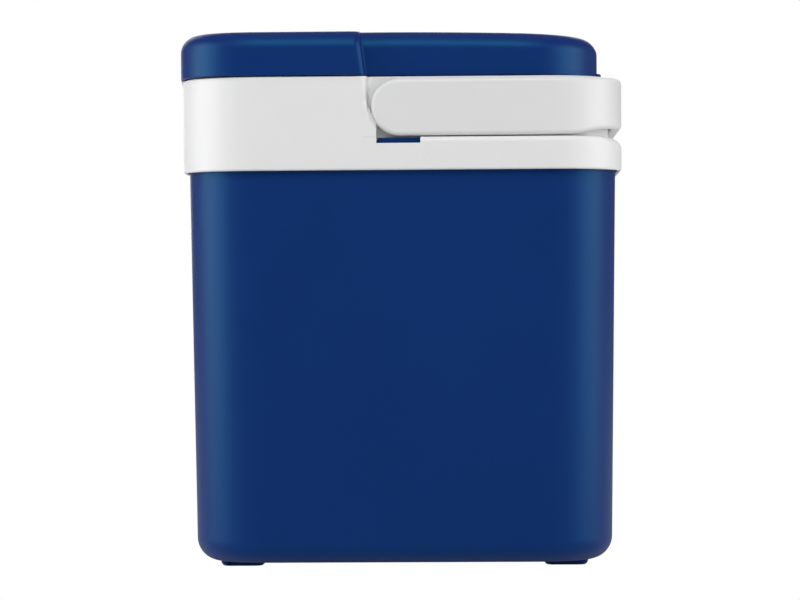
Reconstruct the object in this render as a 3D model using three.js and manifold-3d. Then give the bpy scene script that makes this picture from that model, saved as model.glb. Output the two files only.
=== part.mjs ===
// Cooler chest with a hinged insulated lid and a folding U-shaped carry handle.
// Millimetres, +Z up. X runs along the chest between its two short sides, -Y is the front,
// +Y is the rear with the lid hinge. The handle pivots lie on the line Y = 0 of the chest,
// and the finished group is moved along Y so that the origin is under the middle of the whole object.

import * as THREE from "three";
import { mergeVertices } from "three/addons/utils/BufferGeometryUtils.js";
import Module from "manifold-3d";

const wasm = await Module();
wasm.setup();

// ---------------------------------------------------------------- driving dimensions
const GAP = 0.4; // running gap between neighbouring pieces
const SHIFT_Y = -2.3; // brings the middle of the whole object to Y = 0

// body shell
const BASE_Z = 4.2; // underside of the shell above the floor
const SHELL_WALL = 2.5;
const SHELL_BASE_WALL = 3.0;
const SHELL_RIM_Z = 316.6; // the rim is tucked under the collar ledge
const BODY_HX_LOW = 191.1, // half length and half depth at the base
  BODY_HY_LOW = 156.4;
const BODY_HX_HIGH = 195.2, // and just below the collar
  BODY_HY_HIGH = 160.2;
const BODY_R = 54; // plan corner radius
const BASE_FILLET = 19;
const COLLAR_LOW_Z = 294.7;

// collar
const COLLAR_HX = 200,
  COLLAR_FRONT = -164.9,
  COLLAR_REAR = 164.4,
  COLLAR_R = 55,
  COLLAR_WALL = 3;
const LEDGE_Z = 319.1; // shelf that the folded handle lies over
const DECK_Z = 364; // top of the collar
const RECESS_HX = 190.4, // wall behind the handle
  RECESS_FRONT = -155,
  RECESS_R = 45.4;
const SLOT_Y = [-14.6, 17.8],
  SLOT_LOW_Z = 315.4;
const STEP_R = 24.6; // the proud rear part ends in an arc around the pivot

// handle
const PIVOT_Z = 341.2;
const HANDLE_END_R = 21.2;
const HANDLE_IN_HX = 190.8,
  HANDLE_IN_FRONT = -157.2,
  HANDLE_IN_R = 46.5;
const HANDLE_SKIN = 3.2;
const PIVOT_R = 5;

// liner
const FLOOR_Z = 36; // floor of the food compartment
const LINER_WALL = 2;
const MOUTH_HX = 163, // inside size at the mouth
  MOUTH_HY = 127,
  MOUTH_R = 22;
const FLOOR_HX = 158.5, // and at the floor
  FLOOR_HY = 122.5,
  FLOOR_R = 18;
const FLANGE_Z = [358.7, 360.6];

// lid
const LID_LOW_Z = 364.4,
  LID_TOP_Z = 398.2;
const LID_HX = 201.5, // wide rear part
  LID_FRONT_HX = 189.9, // narrow front part, between the handle arms
  LID_FRONT = -147.2,
  LID_REAR = 166,
  LID_R = 55,
  LID_FRONT_R = 60,
  LID_FILLET = 13,
  LID_WALL = 2.5;
const LID_STEP_Y = [25, 30]; // the step leans back from bottom to top
const LIP_Y = -150; // finger lip along the front lower edge
const PLUG_HX = 160,
  PLUG_HY = 124,
  PLUG_LOW_Z = 351;
const LINER_PLATE_Z = [366.5, 368.5];

// hinge
const HINGE_Y = 165,
  HINGE_Z = 367,
  HINGE_R = 4.5,
  HINGE_X = 85,
  KNUCKLE_HALF = 12,
  EAR_W = 8,
  HINGE_PIN_R = 1.85;

// feet
const FOOT_X = 136,
  FOOT_Y = 121.3,
  FOOT_HALF = 16.7;

// lid screws: [name, x, y]
const SCREWS = [
  ["front_left", -100, -139],
  ["front_right", 100, -139],
  ["middle_left", -181, 0],
  ["middle_right", 181, 0],
  ["rear_left", -100, 150],
  ["rear_right", 100, 150],
];

// ---------------------------------------------------------------- geometry helpers
const CORNER_STEPS = 8;

// Outline of a rounded rectangle, anticlockwise seen from above.
function outline({ hx, y0, y1, r }, steps = CORNER_STEPS) {
  const points = [];
  const corners = [
    [hx - r, y1 - r, 0],
    [-hx + r, y1 - r, 90],
    [-hx + r, y0 + r, 180],
    [hx - r, y0 + r, 270],
  ];
  for (const [cx, cy, start] of corners)
    for (let i = 0; i <= steps; i++) {
      const a = THREE.MathUtils.degToRad(start + (90 * i) / steps);
      points.push(new THREE.Vector2(cx + r * Math.cos(a), cy + r * Math.sin(a)));
    }
  return points;
}

// Closed skin through a stack of rounded rectangles, lowest first.
function loft(rings, steps = CORNER_STEPS) {
  const outlines = rings.map((ring) => outline(ring, steps));
  const n = outlines[0].length;
  const position = [];
  outlines.forEach((points, k) =>
    points.forEach((p) => position.push(p.x, p.y, rings[k].z)),
  );
  const index = [];
  for (let k = 0; k + 1 < rings.length; k++)
    for (let i = 0; i < n; i++) {
      const a = k * n + i,
        b = k * n + ((i + 1) % n);
      index.push(a, b, b + n, a, b + n, a + n);
    }
  const cap = (k) => THREE.ShapeUtils.triangulateShape(outlines[k], []);
  for (const [a, b, c] of cap(0)) index.push(c, b, a);
  const top = (rings.length - 1) * n;
  for (const [a, b, c] of cap(rings.length - 1))
    index.push(top + a, top + b, top + c);
  const geometry = new THREE.BufferGeometry();
  geometry.setAttribute("position", new THREE.Float32BufferAttribute(position, 3));
  geometry.setIndex(index);
  return geometry;
}

const ring = (z, hx, y0, y1, r) => ({ z, hx, y0, y1, r });
const inset = (g, d) => ({
  z: g.z,
  hx: g.hx - d,
  y0: g.y0 + d,
  y1: g.y1 - d,
  r: Math.max(g.r - d, 1),
});

// Rings that round the lower or the upper edge of a wall.
function filletRings(base, radius, up, steps = 5) {
  const rings = [];
  for (let i = 0; i <= steps; i++) {
    const a = ((up ? i : steps - i) / steps) * (Math.PI / 2);
    const g = inset(base, radius * (1 - Math.cos(a)));
    g.z = up
      ? base.z - radius + radius * Math.sin(a)
      : base.z + radius - radius * Math.sin(a);
    rings.push(g);
  }
  return rings;
}

function solid(geometry) {
  const g = geometry.clone();
  g.deleteAttribute("normal");
  g.deleteAttribute("uv");
  const merged = mergeVertices(g, 1e-4);
  return new wasm.Manifold(
    new wasm.Mesh({
      numProp: 3,
      vertProperties: new Float32Array(merged.attributes.position.array),
      triVerts: new Uint32Array(merged.index.array),
    }),
  );
}

function box(x0, x1, y0, y1, z0, z1) {
  return solid(
    new THREE.BoxGeometry(x1 - x0, y1 - y0, z1 - z0).translate(
      (x0 + x1) / 2,
      (y0 + y1) / 2,
      (z0 + z1) / 2,
    ),
  );
}

// A profile drawn in the YZ plane, extruded along X.
function prismX(points, x0, x1) {
  const geometry = new THREE.ExtrudeGeometry(
    new THREE.Shape(points.map(([y, z]) => new THREE.Vector2(y, z))),
    { depth: x1 - x0, bevelEnabled: false },
  );
  geometry.applyMatrix4(
    new THREE.Matrix4().set(0, 0, 1, x0, 1, 0, 0, 0, 0, 1, 0, 0, 0, 0, 0, 1),
  );
  return solid(geometry);
}

function cylinderX(y, z, r, x0, x1, sides = 24) {
  return solid(
    new THREE.CylinderGeometry(r, r, x1 - x0, sides)
      .rotateZ(Math.PI / 2)
      .translate((x0 + x1) / 2, y, z),
  );
}

function cylinderZ(x, y, r, z0, z1, sides = 16) {
  return solid(
    new THREE.CylinderGeometry(r, r, z1 - z0, sides)
      .rotateX(Math.PI / 2)
      .translate(x, y, (z0 + z1) / 2),
  );
}

// Round piece turned about its own axis: profile is [radius, height] from the axis back to the axis.
function turned(profile, sides = 20) {
  return new THREE.LatheGeometry(
    profile.map(([r, h]) => new THREE.Vector2(r, h)),
    sides,
  );
}

const arc = (cy, cz, r, from, to, steps) =>
  Array.from({ length: steps + 1 }, (_, i) => {
    const a = THREE.MathUtils.degToRad(from + ((to - from) * i) / steps);
    return [cy + r * Math.cos(a), cz + r * Math.sin(a)];
  });

const chest = new THREE.Group();
chest.position.y = SHIFT_Y;

function piece(name, shape, material) {
  let geometry = shape;
  if (!shape.isBufferGeometry) {
    const { vertProperties, triVerts, numProp } = shape.getMesh();
    const xyz = new Float32Array((vertProperties.length / numProp) * 3);
    for (let i = 0; i < xyz.length / 3; i++)
      for (let k = 0; k < 3; k++) xyz[3 * i + k] = vertProperties[numProp * i + k];
    geometry = new THREE.BufferGeometry();
    geometry.setAttribute("position", new THREE.BufferAttribute(xyz, 3));
    geometry.setIndex(new THREE.BufferAttribute(new Uint32Array(triVerts), 1));
  }
  geometry.computeVertexNormals();
  const mesh = new THREE.Mesh(geometry, material);
  mesh.name = name;
  chest.add(mesh);
  return mesh;
}

// ---------------------------------------------------------------- materials
const plastic = (name, color, roughness) =>
  new THREE.MeshStandardMaterial({ name, color, roughness, metalness: 0 });
const bluePlastic = plastic("blue_plastic", 0x0b3a82, 0.42);
const whitePlastic = plastic("white_plastic", 0xeeeeec, 0.45);
const linerPlastic = plastic("liner_plastic", 0xf2f2f0, 0.35);
const foam = plastic("foam", 0xe8dfb8, 0.95);
const sealRubber = plastic("seal_rubber", 0xb9bcbf, 0.8);
const steel = new THREE.MeshStandardMaterial({
  name: "steel",
  color: 0xb8babd,
  roughness: 0.3,
  metalness: 1,
});

// ---------------------------------------------------------------- body shell
// The four walls lean out towards the top.
function bodyRing(z, d = 0) {
  const t = (z - BASE_Z) / (COLLAR_LOW_Z - BASE_Z);
  const hx = BODY_HX_LOW + (BODY_HX_HIGH - BODY_HX_LOW) * t;
  const hy = BODY_HY_LOW + (BODY_HY_HIGH - BODY_HY_LOW) * t;
  return inset(ring(z, hx, -hy, hy, BODY_R), d);
}
function bodyLoft(lowZ, highZ, d, fillet) {
  return solid(
    loft([...filletRings(bodyRing(lowZ, d), fillet, false, 5), bodyRing(highZ, d)]),
  );
}
let shell = bodyLoft(BASE_Z, SHELL_RIM_Z, 0, BASE_FILLET).subtract(
  bodyLoft(BASE_Z + SHELL_BASE_WALL, SHELL_RIM_Z + 5, SHELL_WALL, BASE_FILLET - 2.5),
);
for (const s of [-1, 1]) {
  // locating tab that stands in the slot of the collar ledge
  const x = [s * 193.1, s * 195.5].sort((a, b) => a - b);
  shell = shell.add(box(x[0], x[1], SLOT_Y[0] + 0.6, SLOT_Y[1] - 0.6, 314, 318.5));
  // seat for each foot's stem
  for (const t of [-1, 1])
    shell = shell.subtract(cylinderZ(s * FOOT_X, t * FOOT_Y, 4.3, 0, 12));
}
piece("outer_shell", shell, bluePlastic);

// ---------------------------------------------------------------- feet
for (const [name, sx, sy] of [
  ["foot_front_left", -1, -1],
  ["foot_front_right", 1, -1],
  ["foot_rear_left", -1, 1],
  ["foot_rear_right", 1, 1],
]) {
  const pad = solid(
    loft(
      [
        [0, 13.6, 5],
        [0.5, 14.6, 6],
        [1.6, 15.8, 7.2],
        [BASE_Z - 0.3, FOOT_HALF, 8],
      ].map(([z, h, r]) => ring(z, h, -h, h, r)),
      4,
    ).translate(sx * FOOT_X, sy * FOOT_Y, 0),
  );
  piece(name, pad.add(cylinderZ(sx * FOOT_X, sy * FOOT_Y, 3.9, 2, 7)), bluePlastic);
}

// ---------------------------------------------------------------- food compartment liner
function linerRing(z, d = 0) {
  const t = (z - FLOOR_Z) / (DECK_Z - FLOOR_Z);
  const mix = (a, b) => a + (b - a) * t;
  const hy = mix(FLOOR_HY, MOUTH_HY);
  return inset(ring(z, mix(FLOOR_HX, MOUTH_HX), -hy, hy, mix(FLOOR_R, MOUTH_R)), d);
}
const linerSpace = (lowZ, highZ, d, fillet) =>
  solid(
    loft([...filletRings(linerRing(lowZ, d), fillet, false, 4), linerRing(highZ, d)], 6),
  );
const liner = linerSpace(FLOOR_Z - LINER_WALL, FLANGE_Z[1], -LINER_WALL, 10)
  .add(
    solid(
      loft([
        ring(FLANGE_Z[0], 181, -147, 152, 36),
        ring(FLANGE_Z[1], 181, -147, 152, 36),
      ]),
    ),
  )
  .subtract(linerSpace(FLOOR_Z, DECK_Z + 3, 0, 8));
piece("inner_liner", liner, linerPlastic);

// ---------------------------------------------------------------- body foam
const bodyFoam = bodyLoft(BASE_Z + SHELL_BASE_WALL + GAP, SHELL_RIM_Z, SHELL_WALL + GAP, 16)
  .add(solid(loft([ring(300, 183, -150, 155, 42), ring(FLANGE_Z[0] - GAP, 183, -150, 155, 42)])))
  .subtract(linerSpace(FLOOR_Z - LINER_WALL - GAP, DECK_Z, -LINER_WALL - GAP, 10));
piece("body_insulation", bodyFoam, foam);

// ---------------------------------------------------------------- collar
const collarLoft = (z0, z1, d) =>
  solid(
    loft([
      inset(ring(z0, COLLAR_HX, COLLAR_FRONT, COLLAR_REAR, COLLAR_R), d),
      inset(ring(z1, COLLAR_HX, COLLAR_FRONT, COLLAR_REAR, COLLAR_R), d),
    ]),
  );
const recessed = solid(
  loft([
    ring(LEDGE_Z - 2, RECESS_HX, RECESS_FRONT, 160, RECESS_R),
    ring(350, RECESS_HX, RECESS_FRONT, 160, RECESS_R),
    inset(ring(361.5, RECESS_HX, RECESS_FRONT, 160, RECESS_R), 1.2),
    inset(ring(DECK_Z, RECESS_HX, RECESS_FRONT, 160, RECESS_R), 3),
    inset(ring(DECK_Z + 3, RECESS_HX, RECESS_FRONT, 160, RECESS_R), 3),
  ]),
);
// Side view of the pocket that the handle folds into, behind which the collar stands proud.
const slotAngle = THREE.MathUtils.radToDeg(Math.acos(SLOT_Y[1] / STEP_R));
const pocket = prismX(
  [
    [-220, LEDGE_Z],
    [SLOT_Y[1], LEDGE_Z],
    ...arc(0, PIVOT_Z, STEP_R, -slotAngle, 0, 6),
    [STEP_R + 0.6, DECK_Z + 4],
    [-220, DECK_Z + 4],
  ],
  -210,
  210,
);
let collar = collarLoft(COLLAR_LOW_Z, DECK_Z, 0).subtract(pocket.subtract(recessed));
// hollow from below, an even wall everywhere
collar = collar
  .subtract(collarLoft(COLLAR_LOW_Z - 5, LEDGE_Z - 2.2, COLLAR_WALL))
  .subtract(
    solid(
      loft([
        ring(LEDGE_Z - 5, RECESS_HX - 3, RECESS_FRONT + 3, 159, RECESS_R - 3),
        ring(DECK_Z - 3, RECESS_HX - 3, RECESS_FRONT + 3, 159, RECESS_R - 3),
      ]),
    ),
  )
  .subtract(
    collarLoft(LEDGE_Z - 5, DECK_Z - 3, COLLAR_WALL).intersect(
      box(-210, 210, STEP_R + 3.2, 200, 300, 370),
    ),
  )
  .subtract(
    solid(
      loft(
        [300, DECK_Z + 5].map((z) => ring(z, MOUTH_HX, -MOUTH_HY, MOUTH_HY, MOUTH_R)),
        6,
      ),
    ),
  );
// front edge of the lower band, rounded back so that fingers reach under the folded crossbar
collar = collar.subtract(
  prismX(
    [
      [-154, LEDGE_Z + 2],
      [-155.8, LEDGE_Z],
      [-159.5, LEDGE_Z - 0.9],
      [-162.6, LEDGE_Z - 3.3],
      [-164.2, LEDGE_Z - 6.2],
      [-166, LEDGE_Z - 12],
      [-175, LEDGE_Z - 12],
      [-175, LEDGE_Z + 2],
    ],
    -210,
    210,
  ).subtract(
    solid(
      loft([
        ring(LEDGE_Z - 15, RECESS_HX - 0.01, RECESS_FRONT, 160, RECESS_R),
        ring(LEDGE_Z + 5, RECESS_HX - 0.01, RECESS_FRONT, 160, RECESS_R),
      ]),
    ),
  ),
);
for (const s of [-1, 1]) {
  // slot over the shell's locating tab
  const x = [s * 191.6, s * 206].sort((a, b) => a - b);
  collar = collar.subtract(box(x[0], x[1], SLOT_Y[0], SLOT_Y[1], SLOT_LOW_Z, LEDGE_Z + 5));
  // bearing hole of the handle
  const b = [s * 184, s * 194].sort((a, b) => a - b);
  collar = collar.subtract(cylinderX(0, PIVOT_Z, PIVOT_R + 0.35, b[0], b[1]));
  // hinge ears, and clearance for the knuckle between them
  for (const t of [-1, 1]) {
    const x0 = s * HINGE_X + t * (KNUCKLE_HALF + GAP);
    const e = [x0, x0 + t * EAR_W].sort((a, b) => a - b);
    collar = collar.add(
      prismX(
        [
          [162.6, 350],
          [164.2, 350],
          [HINGE_Y + HINGE_R, 365.6],
          ...arc(HINGE_Y, HINGE_Z, HINGE_R, 0, 180, 10),
          [HINGE_Y - HINGE_R, 362],
        ],
        e[0],
        e[1],
      ),
    );
  }
  collar = collar
    .subtract(
      cylinderX(
        HINGE_Y,
        HINGE_Z,
        HINGE_R + GAP,
        s * HINGE_X - KNUCKLE_HALF - GAP,
        s * HINGE_X + KNUCKLE_HALF + GAP,
      ),
    )
    .subtract(
      cylinderX(HINGE_Y, HINGE_Z, HINGE_PIN_R + 0.3, s * HINGE_X - 21.5, s * HINGE_X + 21.5, 16),
    );
}
piece("collar", collar, whitePlastic);

// ---------------------------------------------------------------- carry handle
const handleSide = prismX(
  [
    [0, PIVOT_Z - HANDLE_END_R],
    ...arc(0, PIVOT_Z, HANDLE_END_R, -75, 75, 12),
    [0, PIVOT_Z + HANDLE_END_R],
    [-110, 362.6],
    [-170, 363],
    [-170, 324.9],
    [-155, 323.8],
    [-142, 322.6],
    [-130, 321.3],
    [-110, 320.3],
    [-90, 320],
  ].reverse(),
  -210,
  210,
);
let handle = solid(
  loft([310, 370].map((z) => ring(z, COLLAR_HX, COLLAR_FRONT, 60, COLLAR_R))),
)
  .subtract(
    solid(loft([305, 375].map((z) => ring(z, HANDLE_IN_HX, HANDLE_IN_FRONT, 100, HANDLE_IN_R)))),
  )
  .intersect(handleSide);
for (const s of [-1, 1]) {
  const x = [s * 180, s * (COLLAR_HX - HANDLE_SKIN)].sort((a, b) => a - b);
  // blind bearing hole, and moulded-out pockets between ribs on the inner face
  handle = handle.subtract(cylinderX(0, PIVOT_Z, PIVOT_R + 0.35, x[0], x[1]));
  for (let k = 0; k < 3; k++)
    handle = handle.subtract(box(x[0], x[1], -48 - 30 * k, -21 - 30 * k, 323.4, 359));
}
for (let k = -3; k <= 3; k++)
  handle = handle.subtract(box(k * 39 - 18, k * 39 + 18, COLLAR_FRONT + HANDLE_SKIN, -150, 328.4, 359.4));
piece("carry_handle", handle, whitePlastic);

// headed pins that carry the handle, pushed out from inside the collar wall
for (const [name, s] of [
  ["pivot_pin_left", -1],
  ["pivot_pin_right", 1],
]) {
  const pin = turned([
    [0, 184],
    [7.8, 184],
    [8.6, 184.8],
    [8.6, 187],
    [PIVOT_R, 187],
    [PIVOT_R, 195.7],
    [PIVOT_R - 0.7, 196.4],
    [0, 196.4],
  ]);
  pin.rotateZ(-Math.PI / 2); // the turning axis now points along +X
  if (s < 0) pin.rotateZ(Math.PI);
  pin.translate(0, 0, PIVOT_Z);
  piece(name, solid(pin), steel);
}

// ---------------------------------------------------------------- lid cover
const wideRing = (z, d = 0) => inset(ring(z, LID_HX, LID_FRONT, LID_REAR, LID_R), d);
const narrowRing = (z, d = 0) => inset(ring(z, LID_FRONT_HX, LID_FRONT, 160, LID_FRONT_R), d);
const lidSolid = (d, lowZ, topZ) => {
  const step = LID_STEP_Y.map((y) => y + d);
  const rearOnly = prismX(
    [
      [step[0] - 0.75, 360],
      [300, 360],
      [300, 410],
      [step[1] + 0.75, 400],
      [step[0], 365],
    ],
    -220,
    220,
  );
  const wide = solid(loft([wideRing(lowZ, d), ...filletRings(wideRing(topZ, d), LID_FILLET - d, true)]));
  const narrow = solid(
    loft([narrowRing(lowZ, d), ...filletRings(narrowRing(topZ, d), LID_FILLET - d, true)]),
  );
  return narrow.add(wide.intersect(rearOnly));
};
let cover = lidSolid(0, LID_LOW_Z, LID_TOP_Z).subtract(
  lidSolid(LID_WALL, LID_LOW_Z - 5, LID_TOP_Z - LID_WALL),
);
// finger lip
cover = cover.add(
  prismX(
    [
      [LIP_Y, 365.3],
      [-146, 364.8],
      [-146, 368.8],
      [LIP_Y + 1, 368.2],
      [LIP_Y, 367.4],
    ],
    -140,
    140,
  ),
);
for (const s of [-1, 1]) {
  cover = cover.add(
    cylinderX(
      HINGE_Y,
      HINGE_Z,
      HINGE_R,
      s * HINGE_X - KNUCKLE_HALF,
      s * HINGE_X + KNUCKLE_HALF,
    ),
  );
  for (const t of [-1, 1]) {
    const x0 = s * HINGE_X + t * KNUCKLE_HALF;
    const e = [x0, x0 + t * (EAR_W + 0.9)].sort((a, b) => a - b);
    cover = cover.subtract(box(e[0], e[1], 159.5, 172, 360, 372.3));
  }
}
// screw bosses hanging from the top, kept inside the skin
const inSkin = lidSolid(0.8, LID_LOW_Z, LID_TOP_Z - 0.8);
for (const [, x, y] of SCREWS)
  cover = cover.add(
    cylinderZ(x, y, 4, LINER_PLATE_Z[1] + 0.4, LID_TOP_Z - 1.5, 14).intersect(inSkin),
  );
for (const [, x, y] of SCREWS) cover = cover.subtract(cylinderZ(x, y, 1.8, 366, 386, 10));
for (const s of [-1, 1])
  cover = cover.subtract(
    cylinderX(HINGE_Y, HINGE_Z, HINGE_PIN_R + 0.3, s * HINGE_X - 15, s * HINGE_X + 15, 16),
  );
// The cover is one moulding, kept as two solids that meet at the foot of its step, so that the
// narrow front and the wide rear are each plain shapes.
piece("lid_cover", cover.intersect(box(-230, 230, LID_STEP_Y[0] + GAP / 2, 230, 340, 420)), bluePlastic);
piece("lid_cover_front", cover.intersect(box(-230, 230, -230, LID_STEP_Y[0] - GAP / 2, 340, 420)), bluePlastic);

// ---------------------------------------------------------------- lid liner with its plug
const platePlan = (z, d) => [
  solid(
    loft([
      ring(z[0], LID_FRONT_HX - LID_WALL - GAP - d, LID_FRONT + LID_WALL + GAP + d, 140, 57),
      ring(z[1], LID_FRONT_HX - LID_WALL - GAP - d, LID_FRONT + LID_WALL + GAP + d, 140, 57),
    ]),
  ),
  solid(
    loft([
      ring(z[0], LID_HX - LID_WALL - GAP - d, LID_FRONT, 159.9, 51),
      ring(z[1], LID_HX - LID_WALL - GAP - d, LID_FRONT, 159.9, 51),
    ]),
  ).intersect(box(-220, 220, LID_STEP_Y[0] + LID_WALL + 1, 200, 350, 380)),
];
const [plateFront, plateRear] = platePlan(LINER_PLATE_Z, 0);
const plugRing = (z, d) => ring(z, PLUG_HX - d, -PLUG_HY + d, PLUG_HY - d, 20 - d);
let lidLiner = plateFront
  .add(plateRear)
  .add(
    solid(loft([...filletRings(plugRing(PLUG_LOW_Z, 0), 6, false, 4), plugRing(LINER_PLATE_Z[1], 0)], 6)),
  )
  .subtract(solid(loft([plugRing(PLUG_LOW_Z + 2, 2), plugRing(LINER_PLATE_Z[1] + 3, 2)].map((g, i) => (i ? g : inset(g, 3))), 6)));
for (const [, x, y] of SCREWS)
  lidLiner = lidLiner.subtract(cylinderZ(x, y, 1.9, 360, 372, 10));
const linerStep = LID_STEP_Y[0] + LID_WALL + 1;
piece("lid_liner", lidLiner.intersect(box(-230, 230, linerStep, 230, 300, 420)), linerPlastic);
piece("lid_liner_front", lidLiner.intersect(box(-230, 230, -230, linerStep - GAP, 300, 420)), linerPlastic);

// lid foam fills the plug and the cover
piece(
  "lid_insulation",
  solid(
    loft([plugRing(PLUG_LOW_Z + 2.4, 6), plugRing(LINER_PLATE_Z[1] + 1, 2.6)], 6),
  ).add(solid(loft([ring(368.9, 174, -133, 144, 42), ring(LID_TOP_Z - LID_WALL - 0.4, 174, -133, 144, 42)], 6))),
  foam,
);

// seal ring under the lid liner
piece(
  "lid_seal",
  solid(loft([364.3, 366.2].map((z) => ring(z, 173, -134.3, 134.3, 31)))).subtract(
    solid(loft([360, 370].map((z) => ring(z, 169, -130.3, 130.3, 27)))),
  ),
  sealRubber,
);

// pan-head screws that hold the liner to the cover
for (const [name, x, y] of SCREWS)
  piece(
    "lid_screw_" + name,
    solid(
      turned(
        [
          [0, 0],
          [2.6, 0],
          [3.4, 0.7],
          [3.4, 1.7],
          [1.5, 1.7],
          [1.5, 17],
          [0, 19],
        ],
        12,
      )
        .rotateX(Math.PI / 2)
        .translate(x, y, 364.5),
    ),
    steel,
  );

// hinge pins
for (const [name, s] of [
  ["hinge_pin_left", -1],
  ["hinge_pin_right", 1],
])
  piece(
    name,
    cylinderX(
      HINGE_Y,
      HINGE_Z,
      HINGE_PIN_R,
      s * HINGE_X - KNUCKLE_HALF - GAP - EAR_W,
      s * HINGE_X + KNUCKLE_HALF + GAP + EAR_W,
      16,
    ),
    steel,
  );

export default chest;
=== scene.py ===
import math

import bpy
import numpy as np
from mathutils import Matrix, Vector


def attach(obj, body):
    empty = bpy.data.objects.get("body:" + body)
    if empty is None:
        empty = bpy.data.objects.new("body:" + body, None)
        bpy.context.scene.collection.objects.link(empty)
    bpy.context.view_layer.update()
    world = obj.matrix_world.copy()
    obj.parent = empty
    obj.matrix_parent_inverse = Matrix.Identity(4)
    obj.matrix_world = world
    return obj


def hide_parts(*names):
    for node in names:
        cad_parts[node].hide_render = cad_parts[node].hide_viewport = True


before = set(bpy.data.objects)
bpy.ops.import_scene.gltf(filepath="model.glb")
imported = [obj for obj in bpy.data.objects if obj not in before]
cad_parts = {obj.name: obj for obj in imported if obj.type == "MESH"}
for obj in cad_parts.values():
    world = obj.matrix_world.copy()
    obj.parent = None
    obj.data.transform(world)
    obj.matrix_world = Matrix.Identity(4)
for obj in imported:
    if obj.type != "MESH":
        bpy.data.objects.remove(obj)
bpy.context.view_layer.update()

# Everything below is written in millimetres in the chest's own layout and moved by SHIFT_Y,
# exactly as the CAD part is, then scaled to metres.
MM = 0.001
SHIFT_Y = -2.3

# ------------------------------------------------------------------ CAD dimensions
# The large plan corners are eased into the walls: a superellipse over a slightly longer run
# than the CAD part's circular corner, with the same cut across the diagonal.
SOFT = 2.25
BASE_Z, SHELL_WALL, SHELL_RIM_Z = 4.2, 2.5, 316.6
BODY_LOW, BODY_HIGH = (191.1, 156.4), (195.2, 160.2)
BODY_R, BASE_FILLET, COLLAR_LOW_Z = 60.0, 17.0, 294.7
COLLAR = (200.0, -164.9, 164.4, 61.0)
RECESS = (190.4, -155.0, 160.0, 51.4)
COLLAR_WALL, LEDGE_Z, DECK_Z = 3.0, 319.1, 364.0
SLOT_Y, SLOT_LOW_Z = (-15.2, 17.2), 315.4
PIVOT_Z, HANDLE_END_R, PIVOT_R = 341.2, 21.2, 5.0
HANDLE_T_ARM, HANDLE_T_BAR, HANDLE_SKIN = 9.2, 7.7, 3.2
MOUTH = (163.0, -127.0, 127.0, 22.0)
FLOOR_Z, FLOOR = 36.0, (158.5, -122.5, 122.5, 18.0)
LINER_WALL, FLANGE_Z, FLANGE = 2.0, (358.7, 360.6), (181.0, -147.0, 152.0, 36.0)
LID_WIDE = (201.5, -147.2, 166.0, 61.0)
LID_NARROW = (189.9, -147.2, 160.0, 66.0)
LID_LOW_Z, LID_TOP_Z, LID_FILLET, LID_WALL = 364.4, 398.2, 13.0, 2.5
HINGE_Y, HINGE_Z, HINGE_R, HINGE_X, KNUCKLE, EAR_W, HINGE_PIN_R = 165.0, 367.0, 4.5, 85.0, 12.0, 8.0, 1.85
SCREWS = {
    "front_left": (-100, -139), "front_right": (100, -139), "middle_left": (-181, 0),
    "middle_right": (181, 0), "rear_left": (-100, 150), "rear_right": (100, 150),
}


# ------------------------------------------------------------------ mesh helpers
class Shape:
    """Vertices and faces gathered from several closed skins."""

    def __init__(self):
        self.v, self.f = [], []

    def add(self, verts, faces):
        verts = np.asarray(verts, float)
        faces = [tuple(f) for f in faces]
        if signed_volume(verts, faces) < 0:
            faces = [tuple(reversed(f)) for f in faces]
        n = sum(len(v) for v in self.v)
        self.v.append(verts)
        self.f.extend(tuple(i + n for i in f) for f in faces)
        return self


def signed_volume(v, faces):
    total = 0.0
    for f in faces:
        a = v[f[0]]
        for i in range(1, len(f) - 1):
            total += float(np.dot(a, np.cross(v[f[i]], v[f[i + 1]])))
    return total / 6


def make(name, shape):
    mesh = bpy.data.meshes.new(name)
    v = np.vstack(shape.v) + np.array([0.0, SHIFT_Y, 0.0])
    mesh.from_pydata((v * MM).tolist(), [], shape.f)
    mesh.validate()
    mesh.polygons.foreach_set("use_smooth", np.ones(len(mesh.polygons), bool))
    mesh.update()
    o = bpy.data.objects.new(name, mesh)
    bpy.context.scene.collection.objects.link(o)
    return o


def smooth_finish(o, angle=32, weight=60):
    """Flat faces stay flat and narrow roundings carry the light over the edges."""
    o.data.set_sharp_from_angle(angle=math.radians(angle))
    m = o.modifiers.new("even_normals", "WEIGHTED_NORMAL")
    m.keep_sharp = True
    m.weight = weight
    return o


def cut(o, cutter, operation="DIFFERENCE"):
    m = o.modifiers.new("cut", "BOOLEAN")
    m.operation, m.object, m.solver = operation, cutter, "MANIFOLD"
    dg = bpy.context.evaluated_depsgraph_get()
    mesh = bpy.data.meshes.new_from_object(o.evaluated_get(dg))
    o.modifiers.clear()
    old, o.data = o.data, mesh
    mesh.name = old.name
    bpy.data.meshes.remove(old)
    used = cutter.data
    bpy.data.objects.remove(cutter)
    bpy.data.meshes.remove(used)
    mesh.polygons.foreach_set("use_smooth", np.ones(len(mesh.polygons), bool))
    return o


def rings_faces(n_rings, m, closed=False):
    faces = []
    for k in range(n_rings if closed else n_rings - 1):
        a, b = k * m, ((k + 1) % n_rings) * m
        for i in range(m):
            j = (i + 1) % m
            faces.append((a + i, a + j, b + j, b + i))
    return faces


def ladder(m, start):
    """Fills a mirror-symmetric loop of m points with strips that run along X."""
    half = m // 2
    faces = [(start, start + 1, start + m - 1)]
    for i in range(1, half - 1):
        faces.append((start + i, start + i + 1, start + m - i - 1, start + m - i))
    faces.append((start + half - 1, start + half, start + half + 1))
    return faces


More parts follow.
